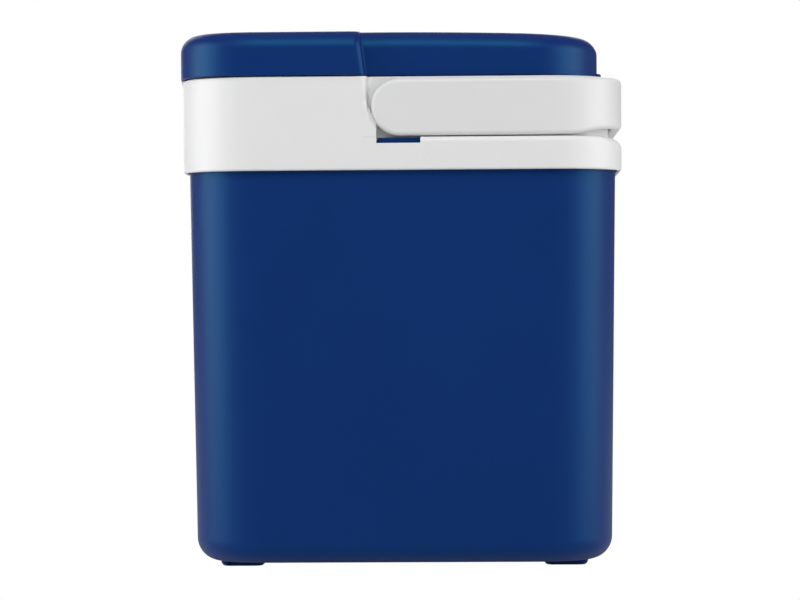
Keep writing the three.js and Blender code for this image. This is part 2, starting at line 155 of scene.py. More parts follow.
def stack(loops, cap_first=True, cap_last=True, closed=False):
    """A skin through loops that all have the same number of points."""
    m = len(loops[0])
    faces = rings_faces(len(loops), m, closed)
    if not closed:
        if cap_first:
            faces += [tuple(reversed(f)) for f in ladder(m, 0)]
        if cap_last:
            faces += ladder(m, (len(loops) - 1) * m)
    return np.vstack(loops), faces


NX, NC = 10, 24
NO_STEP = [(0.0, 1.0)]
FRONT_Y = (-22.0, -19.3, -18.6, -17.9, -17.2, -16.5, -8.0, 0.0, 8.0)  # rows along the side, in front of the step
REAR_U = (8.2, 8.9, 9.6, 10.3, 11.0)  # and just behind it


def corner(r, d, a):
    """Point of a plan corner, from its centre, at angle a and inset d."""
    c, t = math.cos(a), math.sin(a)
    if r < 40.0:
        return (r - d) * c, (r - d) * t
    x = math.copysign(abs(c) ** (2 / SOFT), c) if abs(c) > 1e-9 else 0.0
    y = math.copysign(abs(t) ** (2 / SOFT), t) if abs(t) > 1e-9 else 0.0
    nx = math.copysign(abs(x) ** (SOFT - 1), x)
    ny = math.copysign(abs(y) ** (SOFT - 1), y)
    n = math.hypot(nx, ny)
    return r * x - d * nx / n, r * y - d * ny / n


def ring(of, df, zf, orr=None, dr=None, zr=None, yb=0.0, step=NO_STEP, front=None):
    """One loop round the chest. The part with Y < yb follows outline of at inset df and height zf,
    the part behind it follows outline orr, and step gives the (y offset, weight) points between.
    front = (inset, height) replaces df, zf along the front edge and eases out round the corner."""
    orr = orr or of
    dr = df if dr is None else dr
    zr = zf if zr is None else zr
    pts = []
    hx, y0, y1, r = of
    df2, zf2 = front if front else (df, zf)
    for i in range(NX):
        pts.append(((hx - r) * i / NX, y0 + df2, zf2))
    for i in range(NC + 1):
        a = math.radians(-90 + 90 * i / NC)
        k = ease((math.sin(-a) - 0.62) / 0.38)
        d, z = df + (df2 - df) * k, zf + (zf2 - zf) * k
        cx, cy = corner(r, d, a)
        pts.append((hx - r + cx, y0 + r + cy, z))
    ya, yz = y0 + r, yb + step[0][0]
    first = FRONT_Y[0] if ya < FRONT_Y[0] - 5 else ya + 0.05 * (yz - ya)
    for i in range(1, 9):
        pts.append((hx - df, ya + (first - ya) * i / 9, zf))
    for k, y in enumerate(FRONT_Y):
        y = y if yz > FRONT_Y[-1] + 1 else mix(first, yz, (k + 1) / (len(FRONT_Y) + 1))
        pts.append((hx - df, y, zf))
    hx2, _, y12, r2 = orr
    for u, w in step:
        pts.append(((hx - df) * (1 - w) + (hx2 - dr) * w, yb + u, zf * (1 - w) + zr * w))
    ya, yz = yb + step[-1][0], y12 - r2
    for u in REAR_U:
        pts.append((hx2 - dr, ya + u, zr))
    ya += REAR_U[-1]
    for i in range(1, 9):
        pts.append((hx2 - dr, ya + (yz - ya) * i / 9, zr))
    for i in range(NC + 1):
        a = math.radians(90 * i / NC)
        cx, cy = corner(r2, dr, a)
        pts.append((hx2 - r2 + cx, y12 - r2 + cy, zr))
    for i in range(NX - 1, -1, -1):
        pts.append(((hx2 - r2) * i / NX, y12 - dr, zr))
    half = np.array(pts)
    mirrored = half[-2:0:-1] * np.array([-1.0, 1.0, 1.0])
    return np.vstack([half, mirrored])


def s_curve(depth, convex, concave=1.0, n=7):
    """Plan section of a step: a small inner radius, a straight wall and a rounded outer edge."""
    pts = []
    for i in range(4):
        a = math.pi / 2 * i / 3
        pts.append((-concave + concave * math.sin(a), concave * (1 - math.cos(a)) / depth))
    pts.append((0.0, 0.5 * (concave + depth - convex) / depth))
    for i in range(n + 1):
        a = math.pi / 2 * i / n
        pts.append((convex * (1 - math.cos(a)), (depth - convex + convex * math.sin(a)) / depth))
    return pts


def quarter(r_in, r_z, n=7):
    """(inset, drop) points of a rounded edge, from the top face to the wall."""
    return [(r_in * (1 - math.sin(math.pi / 2 * i / n)), r_z * (1 - math.cos(math.pi / 2 * i / n))) for i in range(n + 1)]


def mix(a, b, t):
    return a + (b - a) * t


def ease(t):
    t = min(max(t, 0.0), 1.0)
    return t * t * (3 - 2 * t)


def rounded_box(x0, x1, y0, y1, z0, z1, r, n=4):
    """Box with every edge rounded, as stacked loops of a rounded rectangle."""
    loops = []
    levels = [(r * (1 - math.cos(math.pi / 2 * i / n)), z0 + r - r * math.sin(math.pi / 2 * i / n)) for i in range(n, -1, -1)]
    levels += [(r * (1 - math.cos(math.pi / 2 * i / n)), z1 - r + r * math.sin(math.pi / 2 * i / n)) for i in range(n + 1)]
    for d, z in levels:
        pts = []
        rr = max(r - d, 0.02)
        for cx, cy, start in ((x1 - r, y0 + r, -90), (x1 - r, y1 - r, 0)):
            for i in range(n + 1):
                a = math.radians(start + 90 * i / n)
                pts.append((cx + rr * math.cos(a), cy + rr * math.sin(a), z))
        mid = (x0 + x1) / 2
        half = [(mid, y0 + r - rr, z)] + pts + [(mid, y1 - r + rr, z)]
        other = [(2 * mid - x, y, zz) for x, y, zz in half[-2:0:-1]]
        loops.append(np.array(half + other))
    return stack(loops)


def lathe_x(profile, cy, cz, n=40, flip=1):
    """Solid of revolution about an X axis; profile is [(radius, x)], from axis to axis."""
    loops = []
    for r, x in profile:
        a = np.linspace(0, 2 * math.pi, n, endpoint=False)
        loops.append(np.column_stack([np.full(n, flip * x), cy + r * np.cos(a), cz + r * np.sin(a)]))
    return np.vstack(loops), rings_faces(len(loops), n)


def lathe_z(profile, cx, cy, n=32):
    loops = []
    for r, z in profile:
        a = np.linspace(0, 2 * math.pi, n, endpoint=False)
        loops.append(np.column_stack([cx + r * np.cos(a), cy + r * np.sin(a), np.full(n, z)]))
    return np.vstack(loops), rings_faces(len(loops), n)


# ------------------------------------------------------------------ materials
def node(nt, kind, **values):
    n = nt.nodes.new(kind)
    for key, value in values.items():
        if key in n.inputs:
            n.inputs[key].default_value = value
        else:
            setattr(n, key, value)
    return n


def plastic(name, color, second, roughness, rough_span=0.06, grain=2200.0, grain_depth=0.00003, flow=18.0, flow_depth=0.00006,
            ior=1.49, specular=0.5, tint=(1, 1, 1), coat=0.0, subsurface=0.0):
    """Moulded plastic: two close tones that drift over the surface, a fine eroded grain and a slow flow wave."""
    m = bpy.data.materials.new(name)
    m.use_nodes = True
    nt = m.node_tree
    nt.nodes.clear()
    out = node(nt, "ShaderNodeOutputMaterial")
    bsdf = node(nt, "ShaderNodeBsdfPrincipled")
    bsdf.inputs["IOR"].default_value = ior
    bsdf.inputs["Specular IOR Level"].default_value = specular
    bsdf.inputs["Specular Tint"].default_value = (*tint, 1)
    bsdf.inputs["Coat Weight"].default_value = coat
    bsdf.inputs["Coat Roughness"].default_value = 0.25
    if subsurface:
        bsdf.inputs["Subsurface Weight"].default_value = subsurface
        bsdf.inputs["Subsurface Radius"].default_value = (1.0, 0.95, 0.9)
        bsdf.inputs["Subsurface Scale"].default_value = 0.0015
    nt.links.new(bsdf.outputs[0], out.inputs[0])
    co = node(nt, "ShaderNodeTexCoord")
    drift = node(nt, "ShaderNodeTexNoise", Scale=6.0, Detail=4.0, Roughness=0.6)
    nt.links.new(co.outputs["Object"], drift.inputs["Vector"])
    ramp = node(nt, "ShaderNodeValToRGB")
    ramp.color_ramp.elements[0].position, ramp.color_ramp.elements[1].position = 0.35, 0.65
    ramp.color_ramp.elements[0].color = (*color, 1)
    ramp.color_ramp.elements[1].color = (*second, 1)
    nt.links.new(drift.outputs["Fac"], ramp.inputs["Fac"])
    nt.links.new(ramp.outputs["Color"], bsdf.inputs["Base Color"])
    fine = node(nt, "ShaderNodeTexNoise", Scale=grain, Detail=3.0, Roughness=0.65)
    nt.links.new(co.outputs["Object"], fine.inputs["Vector"])
    speck = node(nt, "ShaderNodeTexNoise", Scale=grain * 0.28, Detail=2.0, Roughness=0.5)
    nt.links.new(co.outputs["Object"], speck.inputs["Vector"])
    span = node(nt, "ShaderNodeMapRange")
    span.inputs["To Min"].default_value = roughness - rough_span
    span.inputs["To Max"].default_value = roughness + rough_span
    nt.links.new(speck.outputs["Fac"], span.inputs["Value"])
    nt.links.new(span.outputs[0], bsdf.inputs["Roughness"])
    wave = node(nt, "ShaderNodeTexNoise", Scale=flow, Detail=2.0, Roughness=0.4)
    nt.links.new(co.outputs["Object"], wave.inputs["Vector"])
    slow = node(nt, "ShaderNodeBump", Strength=0.35, Distance=flow_depth)
    nt.links.new(wave.outputs["Fac"], slow.inputs["Height"])
    bump = node(nt, "ShaderNodeBump", Strength=0.5, Distance=grain_depth)
    nt.links.new(fine.outputs["Fac"], bump.inputs["Height"])
    nt.links.new(slow.outputs["Normal"], bump.inputs["Normal"])
    nt.links.new(bump.outputs["Normal"], bsdf.inputs["Normal"])
    return m


def foam_material():
    m = bpy.data.materials.new("foam_cells")
    m.use_nodes = True
    nt = m.node_tree
    nt.nodes.clear()
    out, bsdf, co = node(nt, "ShaderNodeOutputMaterial"), node(nt, "ShaderNodeBsdfPrincipled"), node(nt, "ShaderNodeTexCoord")
    bsdf.inputs["Roughness"].default_value = 0.9
    nt.links.new(bsdf.outputs[0], out.inputs[0])
    cells = node(nt, "ShaderNodeTexVoronoi", Scale=520.0)
    nt.links.new(co.outputs["Object"], cells.inputs["Vector"])
    ramp = node(nt, "ShaderNodeValToRGB")
    ramp.color_ramp.elements[0].color = (0.80, 0.72, 0.46, 1)
    ramp.color_ramp.elements[1].color = (0.62, 0.53, 0.30, 1)
    nt.links.new(cells.outputs["Distance"], ramp.inputs["Fac"])
    nt.links.new(ramp.outputs["Color"], bsdf.inputs["Base Color"])
    bump = node(nt, "ShaderNodeBump", Strength=0.8, Distance=0.0006)
    nt.links.new(cells.outputs["Distance"], bump.inputs["Height"])
    nt.links.new(bump.outputs["Normal"], bsdf.inputs["Normal"])
    return m


def steel_material():
    m = bpy.data.materials.new("plated_steel")
    m.use_nodes = True
    nt = m.node_tree
    nt.nodes.clear()
    out, bsdf, co = node(nt, "ShaderNodeOutputMaterial"), node(nt, "ShaderNodeBsdfPrincipled"), node(nt, "ShaderNodeTexCoord")
    bsdf.inputs["Metallic"].default_value = 1.0
    nt.links.new(bsdf.outputs[0], out.inputs[0])
    spangle = node(nt, "ShaderNodeTexVoronoi", Scale=900.0)
    nt.links.new(co.outputs["Object"], spangle.inputs["Vector"])
    ramp = node(nt, "ShaderNodeValToRGB")
    ramp.color_ramp.elements[0].color = (0.66, 0.66, 0.67, 1)
    ramp.color_ramp.elements[1].color = (0.52, 0.53, 0.56, 1)
    nt.links.new(spangle.outputs["Distance"], ramp.inputs["Fac"])
    nt.links.new(ramp.outputs["Color"], bsdf.inputs["Base Color"])
    scratch = node(nt, "ShaderNodeTexNoise", Scale=1500.0, Detail=4.0)
    nt.links.new(co.outputs["Object"], scratch.inputs["Vector"])
    span = node(nt, "ShaderNodeMapRange")
    span.inputs["To Min"].default_value, span.inputs["To Max"].default_value = 0.22, 0.42
    nt.links.new(scratch.outputs["Fac"], span.inputs["Value"])
    nt.links.new(span.outputs[0], bsdf.inputs["Roughness"])
    bump = node(nt, "ShaderNodeBump", Strength=0.4, Distance=0.00002)
    nt.links.new(scratch.outputs["Fac"], bump.inputs["Height"])
    nt.links.new(bump.outputs["Normal"], bsdf.inputs["Normal"])
    return m


BLUE = plastic("blue_moulded", (0.0048, 0.0165, 0.136), (0.0054, 0.0183, 0.146), 0.44, tint=(0.07, 0.72, 1.0))
WHITE = plastic("white_moulded", (0.79, 0.79, 0.79), (0.81, 0.81, 0.81), 0.46)
STRAP = plastic("white_strap_moulded", (0.745, 0.745, 0.745), (0.765, 0.765, 0.765), 0.42)
LINER = plastic("liner_moulded", (0.80, 0.80, 0.79), (0.83, 0.83, 0.82), 0.30, grain=1200.0, grain_depth=0.00001)
RUBBER = plastic("seal_rubber_matt", (0.34, 0.35, 0.37), (0.40, 0.41, 0.43), 0.78, grain=1500.0, grain_depth=0.00008)
FOAM, STEEL = foam_material(), steel_material()


def own(o, body, slot, material, *nodes):
    o.data.materials.clear()
    o.data.materials.append(material)
    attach(o, body)
    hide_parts(*nodes)
    return o


# ------------------------------------------------------------------ body shell
def body_outline(z, d=0.0):
    t = (z - BASE_Z) / (COLLAR_LOW_Z - BASE_Z)
    hx, hy = mix(BODY_LOW[0], BODY_HIGH[0], t), mix(BODY_LOW[1], BODY_HIGH[1], t)
    return (hx - d, -hy + d, hy - d, BODY_R - d)


def body_loops(z_low, z_high, d, fillet, n=14, levels=(40, 90, 140, 190, 240, 280)):
    loops = []
    base = body_outline(z_low, d)
    for i in range(n, -1, -1):
        a = math.pi / 2 * i / n
        loops.append(ring(base, fillet * (1 - math.cos(a)), z_low + fillet - fillet * math.sin(a)))
    # the wall leans out from the top of the fillet, as in the CAD part
    foot = body_outline(z_low, d)
    top = body_outline(z_high, d)
    z_foot = z_low + fillet
    for z in [*levels, z_high]:
        t = (z - z_foot) / (z_high - z_foot)
        o = tuple(mix(a, b, t) for a, b in zip(foot, top))
        loops.append(ring(o, 0.0, z))
    return loops


shell = Shape()
outer = body_loops(BASE_Z, SHELL_RIM_Z, 0.0, BASE_FILLET)
for d in (30.0, 60.0, 90.0):  # rows under the base, so that the ladder stays even
    outer.insert(0, ring(body_outline(BASE_Z), BASE_FILLET + d * 0.16, BASE_Z))
inner = body_loops(BASE_Z + 3.0, SHELL_RIM_Z, SHELL_WALL, BASE_FILLET - 2.5, n=8)
m_count = len(outer[0])
verts = np.vstack(outer + inner[::-1])
faces = rings_faces(len(outer) + len(inner), m_count)
faces += [tuple(reversed(f)) for f in ladder(m_count, 0)]
faces += ladder(m_count, (len(outer) + len(inner) - 1) * m_count)
shell.add(verts, faces)
o_shell = make("body_shell", shell)
for sx in (-1, 1):
    for sy in (-1, 1):
        hole = make("hole", Shape().add(*lathe_z([(0, -2), (4.3, -2), (4.3, 12), (0, 12)], sx * 136, sy * 121.3)))
        cut(o_shell, hole)
tabs = Shape()
for s in (-1, 1):
    x = sorted((s * 193.1, s * 195.5))
    tabs.add(*rounded_box(x[0], x[1], SLOT_Y[0] + 0.6, SLOT_Y[1] - 0.6, 313.5, 318.5, 0.5))
o_tabs = make("collar_tabs", tabs)
smooth_finish(o_shell)
smooth_finish(o_tabs)
own(o_shell, "chest", "blue_plastic", BLUE, "outer_shell")
own(o_tabs, "chest", "blue_plastic", BLUE)

# ------------------------------------------------------------------ feet
for name, sx, sy in (("foot_front_left", -1, -1), ("foot_front_right", 1, -1), ("foot_rear_left", -1, 1), ("foot_rear_right", 1, 1)):
    loops = []
    for h, z in ((9.0, 0.0), (13.2, 0.0), (14.2, 0.12), (15.0, 0.5), (15.6, 1.1), (16.1, 1.9), (16.5, 2.8), (16.7, 3.9)):
        loops.append(ring((h, -h, h, max(h - 8.7, 1.0)), 0.0, z) + np.array([sx * 136.0, sy * 121.3, 0.0]))
    pad = Shape().add(*stack(loops))
    pad.add(*lathe_z([(0, 3.0), (3.9, 3.0), (3.9, 6.6), (3.5, 7.0), (0, 7.0)], sx * 136, sy * 121.3))
    own(smooth_finish(make("pad_" + name, pad)), "chest", "blue_plastic", BLUE, name)

# ------------------------------------------------------------------ collar
STEP_ARC_Z, STEP_ARC_R = 341.2, 23.8


def step_y(z):
    """Where the proud rear part of the collar begins, at height z."""
    if z >= STEP_ARC_Z:
        return STEP_ARC_R + 0.3 * (z - STEP_ARC_Z) / (DECK_Z - STEP_ARC_Z)
    if STEP_ARC_R**2 - (STEP_ARC_Z - z) ** 2 <= SLOT_Y[1] ** 2:
        return SLOT_Y[1]
    return math.sqrt(STEP_ARC_R**2 - (STEP_ARC_Z - z) ** 2)


def step_curve(z):
    t = ease((z - 333.0) / 17.0)
    return s_curve(9.6, mix(0.7, 5.9, t), mix(0.6, 3.2, t))


def mouth_mix(t, z):
    """Deck ring between the mouth (t = 0) and the deck's outer edge (t = 1)."""
    a = ring(MOUTH, -0.8, z)
    b = ring(RECESS, 1.4, z, COLLAR, 1.2, z, step_y(z), step_curve(z))
    a = resample_like(a, b)
    return a * (1 - t) + b * t


def resample_like(a, b):
    """Same number of stations as b, spread along the side of a."""
    half_b = len(b) // 2 + 1
    half_a = len(a) // 2 + 1
    ha = a[:half_a]
    n_front, n_rear = NX + NC + 1, NC + 1 + NX
    side_a = ha[n_front - 1 : half_a - n_rear + 1]
    n_side = half_b - n_front - n_rear + 2
    y = np.linspace(side_a[0][1], side_a[-1][1], n_side)
    side = np.column_stack([np.full(n_side, side_a[0][0]), y, np.full(n_side, side_a[0][2])])
    half = np.vstack([ha[: n_front - 1], side, ha[half_a - n_rear + 1 :]])
    return np.vstack([half, half[-2:0:-1] * np.array([-1.0, 1.0, 1.0])])


loops = []


def collar_ring(of, df, zf, orr, dr, zr, front=None):
    z = min(max((zf + zr) / 2, 319.2), DECK_Z)
    loops.append(ring(of, df, zf, orr, dr, zr, step_y(z), step_curve(z), front))


deck_edge = ring(RECESS, 1.4, DECK_Z, COLLAR, 1.2, DECK_Z, step_y(DECK_Z), step_curve(DECK_Z))
loops.append(resample_like(ring(MOUTH, 0.0, 361.0), deck_edge))
loops.append(resample_like(ring(MOUTH, 0.0, 363.2), deck_edge))
loops.append(resample_like(ring(MOUTH, -0.25, 363.78), deck_edge))
loops.append(mouth_mix(0.0, DECK_Z))
for t in (0.12, 0.45, 0.8, 0.95):
    loops.append(mouth_mix(t, DECK_Z))
for (df, pf), (dr, pr) in zip(quarter(1.4, 1.4), quarter(1.2, 1.2)):
    collar_ring(RECESS, df, DECK_Z - pf, COLLAR, dr, DECK_Z - pr)
for z in (361.5, 359, 357, 355, 353, 351, 349, 347, 345, 343.5, 342.3, 341.2, 340, 338.8, 337.6, 336.4, 335.2, 334, 332.8, 331.6, 330.4, 329.3, 328.2, 327.2, 326.2, 325.2, 324.2, 323.2, 322.4, 321.6, 320.9):
    collar_ring(RECESS, 0.0, z, COLLAR, 0.0, z)
for d, z, zr in ((0.0, 320.1, 320.4), (-0.13, 319.6, 319.9), (-0.5, 319.23, 319.4), (-1.0, LEDGE_Z, 318.9)):
    collar_ring(RECESS, d, z, COLLAR, 0.0, zr)
n = 9
side_edge, front_edge = quarter(3.2, 4.0, n), quarter(8.9, 8.0, n)
collar_ring(COLLAR, 5.0, LEDGE_Z, COLLAR, 0.0, 318.3, (9.1, LEDGE_Z))
for i in range(n + 1):
    (ds, ps), (dq, pq) = side_edge[i], front_edge[i]
    collar_ring(COLLAR, ds, LEDGE_Z - ps, COLLAR, 0.0, 317.8 - 0.6 * i, (dq, LEDGE_Z - pq))
for z in (309.0, 306.0, 302.0):
    collar_ring(COLLAR, 0.0, z, COLLAR, 0.0, z)
n = 7
for i in range(n + 1):
    a = math.pi / 2 * i / n
    d, z = 1.5 * (1 - math.cos(a)), COLLAR_LOW_Z + 1.7 - 1.7 * math.sin(a)
    collar_ring(COLLAR, d, z, COLLAR, d, z)
collar_ring(COLLAR, 3.0, 295.0, COLLAR, 3.0, 295.0)
collar_ring(COLLAR, 3.0, 306.0, COLLAR, 3.0, 306.0, (3.0, 306.0))
collar_ring(COLLAR, 3.0, 316.9, COLLAR, 3.0, 316.9, (11.0, 308.0))
collar_ring(RECESS, 3.0, 316.9, COLLAR, 3.0, 330.0, (3.0, 308.0))
collar_ring(RECESS, 3.0, 340.0, COLLAR, 3.0, 345.0)
collar_ring(RECESS, 3.6, 361.0, COLLAR, 3.6, 361.0)
for loop in loops:  # a faint raised frame line each side of the panel under the slot
    for q in loop:
        if abs(q[0]) > 199.0 and q[2] < LEDGE_Z:
            k = ease((q[1] + 18.6) / 1.4) * (1 - ease((q[1] - 26.6) / 1.4))
            q[0] -= math.copysign(0.22 * k, q[0])
o_collar = make("collar_moulding", Shape().add(*stack(loops, closed=True)))

for s in (-1, 1):
    # slot over the body's tab, a chamfer along its lower outer edge, and the bearing hole
    x = sorted((s * 191.6, s * 210))
    c = make("c", Shape().add(*rounded_box(x[0], x[1], SLOT_Y[0], SLOT_Y[1], SLOT_LOW_Z - 0.9, 324.0, 0.5)))
    cut(o_collar, c)
    low = SLOT_LOW_Z - 0.9
    bevel = [(s * x, y, z) for y in (SLOT_Y[0] + 0.2, SLOT_Y[1] - 0.2) for x, z in ((198.9, low + 0.4), (200.6, low + 0.4), (200.6, low - 1.3))]
    c = make("c", Shape().add(bevel, [(0, 1, 2), (5, 4, 3), (0, 3, 4, 1), (1, 4, 5, 2), (2, 5, 3, 0)]))
    cut(o_collar, c)
    c = make("c", Shape().add(*lathe_x([(0, 180), (PIVOT_R + 0.35, 180), (PIVOT_R + 0.35, 196), (0, 196)], 0, PIVOT_Z, 40, s)))
    cut(o_collar, c)
    # room for the hinge knuckle
    x0 = s * HINGE_X
    w = KNUCKLE + 0.4
    c = make("c", Shape().add(*lathe_x([(0, x0 - w), (HINGE_R + 0.4, x0 - w), (HINGE_R + 0.4, x0 + w), (0, x0 + w)], HINGE_Y, HINGE_Z, 48)))
    cut(o_collar, c)
smooth_finish(o_collar)
own(o_collar, "chest", "white_plastic", WHITE, "collar")


def prism_x(profile, x0, x1, bevel=0.6):
    """Side profile (y, z) carried along X, with narrow bevels at both ends."""
    p = np.array(profile, float)
    c = p.mean(0)
    loops = []
    span = np.abs(p - c).max()
    for x, k in ((x0, 1 - bevel / span), (x0 + bevel * 0.3, 1 - 0.3 * bevel / span), (x0 + bevel, 1.0), (x1 - bevel, 1.0), (x1 - bevel * 0.3, 1 - 0.3 * bevel / span), (x1, 1 - bevel / span)):
        q = c + (p - c) * k
        loops.append(np.column_stack([np.full(len(q), x), q[:, 0], q[:, 1]]))
    m = len(p)
    v = np.vstack(loops)
    faces = rings_faces(len(loops), m)
    faces.append(tuple(range(m))[::-1])
    faces.append(tuple(range(len(v) - m, len(v))))
    return v, faces


ears = Shape()
for s in (-1, 1):
    for t in (-1, 1):
        x0 = s * HINGE_X + t * (KNUCKLE + 0.4)
        x = sorted((x0, x0 + t * EAR_W))
        side = [(162.6, 350), (164.3, 350), (166.2, 357.5), (168.4, 362.6), (HINGE_Y + HINGE_R, 365.6)]
        side += [(HINGE_Y + HINGE_R * math.cos(a), HINGE_Z + HINGE_R * math.sin(a)) for a in np.radians(np.linspace(4, 180, 20))]
        side += [(HINGE_Y - HINGE_R, 362)]
        ears.add(*prism_x(side, x[0], x[1], 0.5))
own(smooth_finish(make("hinge_ears", ears), 40), "chest", "white_plastic", WHITE)

# ------------------------------------------------------------------ carry handle
BOTTOM = np.array([(-175, 325.9), (-160, 325.2), (-153, 324.6), (-147, 323.9), (-143, 323.1), (-139, 322.2), (-135, 321.4), (-131, 320.8), (-125, 320.4), (-110, 320.1), (-90, 320.0), (60, 320.0)])
TOP = np.array([(-175, 363.0), (-164.9, 362.95), (-110, 362.6), (0, 362.4), (60, 362.4)])


def handle_path(s, depth):
    """Point of the U path at arc length s from the middle of the crossbar, depth mm inside its outer face."""
    hx, y0, _, r = COLLAR
    bar, turn = hx - r, r * math.pi / 2
    sign = 1 if s >= 0 else -1
    s = abs(s)
    if s <= bar:
        p = (s, y0 + depth)
    elif s <= bar + turn:
        cx, cy = corner(r, depth, math.pi / 2 * (s - bar) / turn)
        p = (bar + cy, y0 + r - cx)
    else:
        p = (hx - depth, y0 + r + s - bar - turn)
    return sign * p[0], p[1]


def handle_thickness(s):
    hx, _, _, r = COLLAR
    return mix(HANDLE_T_BAR, HANDLE_T_ARM, ease((abs(s) - (hx - r)) / (r * math.pi / 2)))


S_PIVOT = (COLLAR[0] - COLLAR[3]) + COLLAR[3] * math.pi / 2 + (0 - (COLLAR[1] + COLLAR[3]))


def smooth_interp(y, table):
    ys = y + np.linspace(-4, 4, 5)
    return float(np.mean(np.interp(ys, table[:, 0], table[:, 1])))


s_bar = list(np.linspace(0, COLLAR[0] - COLLAR[3], 24))
s_turn = list(np.linspace(COLLAR[0] - COLLAR[3], COLLAR[0] - COLLAR[3] + COLLAR[3] * math.pi / 2, 30))[1:]
s_arm = list(np.linspace(s_turn[-1], S_PIVOT, 22))[1:]
line = s_bar + s_turn + s_arm
half = []
for s in line:
    y = handle_path(s, 0)[1]
    half.append((s, smooth_interp(y, TOP)))
# the top and bottom edges run into the round end around the pivot
top_z, low_z = half[-1][1], smooth_interp(0.0, BOTTOM)
n = 30
end = [(S_PIVOT + HANDLE_END_R * math.sin(a), PIVOT_Z + HANDLE_END_R * math.cos(a)) for a in np.linspace(0, math.pi, n + 1)]
half += end[1:]
half += [(s, smooth_interp(handle_path(s, 0)[1], BOTTOM)) for s in reversed(line[:-1])]
half = np.array(half)
full = np.vstack([half, half[-2:0:-1] * np.array([-1.0, 1.0])])
tangent = np.roll(full, -1, 0) - np.roll(full, 1, 0)
tangent /= np.linalg.norm(tangent, axis=1)[:, None]
inward = np.column_stack([tangent[:, 1], -tangent[:, 0]])
centre_z = 341.0
if inward[0][1] > 0:
    inward = -inward


def handle_loop(inset, depth, from_inner=False):
    pts = []
    for (s, z), n_in in zip(full, inward):
        s2, z2 = s + n_in[0] * inset, z + n_in[1] * inset
        d = handle_thickness(s2) - depth if from_inner else depth
        x, y = handle_path(s2, d)
        pts.append((x, y, z2))
    return np.array(pts)


EDGE_OUT, EDGE_IN = 3.4, 1.6
loops = []
for k in (14.0, 9.0, 5.5):
    loops.append(handle_loop(k, 0.0))
for i in range(9):
    a = math.pi / 2 * i / 8
    loops.append(handle_loop(EDGE_OUT * (1 - math.sin(a)), EDGE_OUT * (1 - math.cos(a))))
for i in range(6):
    a = math.pi / 2 * i / 5
    loops.append(handle_loop(EDGE_IN * (1 - math.cos(a)), EDGE_IN * (1 - math.sin(a)), True))
for k in (4.0, 9.0, 14.0):
    loops.append(handle_loop(k, 0.0, True))
m_count = len(full)
verts = np.vstack(loops)
faces = rings_faces(len(loops), m_count)


def strip_fill(start):
    """Joins the upper and the lower edge of a handle loop, station by station."""
    h = len(half)
    q = []
    for side in (0, 1):
        idx = list(range(h)) if side == 0 else [0] + list(range(m_count - 1, h - 2, -1))
        i, j = 0, h - 1
        while j - i > 2:
            quad = (start + idx[i], start + idx[i + 1], start + idx[j - 1], start + idx[j])
            q.append(quad if side == 0 else quad[::-1])
            i, j = i + 1, j - 1
        if j - i == 2:
            tri = (start + idx[i], start + idx[i + 1], start + idx[j])
            q.append(tri if side == 0 else tri[::-1])
    return q


faces += [tuple(reversed(f)) for f in strip_fill(0)]
faces += strip_fill((len(loops) - 1) * m_count)
o_handle = make("strap_handle", Shape().add(verts, faces))
pockets = Shape()
for s in (-1, 1):
    x = sorted((s * 184, s * (COLLAR[0] - HANDLE_SKIN)))
    pockets.add(*lathe_x([(0, 184), (PIVOT_R + 0.35, 184), (PIVOT_R + 0.35, COLLAR[0] - HANDLE_SKIN), (0, COLLAR[0] - HANDLE_SKIN)], 0, PIVOT_Z, 40, s))
    for k in range(3):
        pockets.add(*rounded_box(x[0], x[1], -48 - 30 * k, -21 - 30 * k, 323.4, 359, 1.4))
for k in range(-3, 4):
    pockets.add(*rounded_box(k * 39 - 18, k * 39 + 18, COLLAR[1] + HANDLE_SKIN, -150, 328.4, 359.4, 1.4))
cut(o_handle, make("pockets", pockets))
smooth_finish(o_handle)
own(o_handle, "handle", "white_plastic", STRAP, "carry_handle")

for name, s in (("pivot_pin_left", -1), ("pivot_pin_right", 1)):
    profile = [(0, 184), (6.6, 184), (7.8, 184.2), (8.4, 184.7), (8.6, 185.3), (8.6, 186.7), (8.4, 187), (PIVOT_R, 187), (PIVOT_R, 195.7), (PIVOT_R - 0.7, 196.4), (0, 196.4)]
    own(smooth_finish(make("turned_" + name, Shape().add(*lathe_x(profile, 0, PIVOT_Z, 48, s)))), "handle", "steel", STEEL, name)


# ------------------------------------------------------------------ lid cover
def lid_step_y(z):
    return 25.0 + 5.0 * (z - 365.0) / 35.0


def lid_drop(y):
    """The top falls away gently towards the front."""
    return 0.5 + 1.3e-4 * max(0.0, 20.0 - y) ** 2


def lid_slope(loop):
    out = loop.copy()
    for p in out:
        p[2] -= lid_drop(p[1]) * ease((p[2] - 372.0) / 22.0)
    return out


def lid_ring(d, z, convex=6.5, concave=1.6, back=0.0):
    return ring(LID_NARROW, d, z, LID_WIDE, d, z, lid_step_y(z) + back, s_curve(11.6, convex, concave))


loops = []
for k in (75.0, 45.0, 30.0, 20.0):
    loops.append(lid_ring(LID_FILLET + k * 0.24, LID_TOP_Z))
for d, p in quarter(LID_FILLET, LID_FILLET, 14):
    loops.append(lid_ring(d, LID_TOP_Z - p))
for z in (381.0, 377.0, 373.0, 369.0):
    loops.append(lid_ring(0.0, z))
for d, p in reversed(quarter(0.7, 0.7, 4)):
    loops.append(lid_ring(d, LID_LOW_Z + 0.3 + p))
loops.append(lid_ring(LID_WALL, LID_LOW_Z + 0.3, 2.0, 3.0, 2.5))
loops.append(lid_ring(LID_WALL, 375.0, 2.0, 3.0, 2.5))
for d, p in reversed(quarter(LID_FILLET - LID_WALL, LID_FILLET - LID_WALL, 6)):
    loops.append(lid_ring(LID_WALL + d, LID_TOP_Z - LID_WALL - p, 2.0, 3.0, 2.5))
loops = [lid_slope(l) for l in loops]
m_count = len(loops[0])
verts = np.vstack(loops)
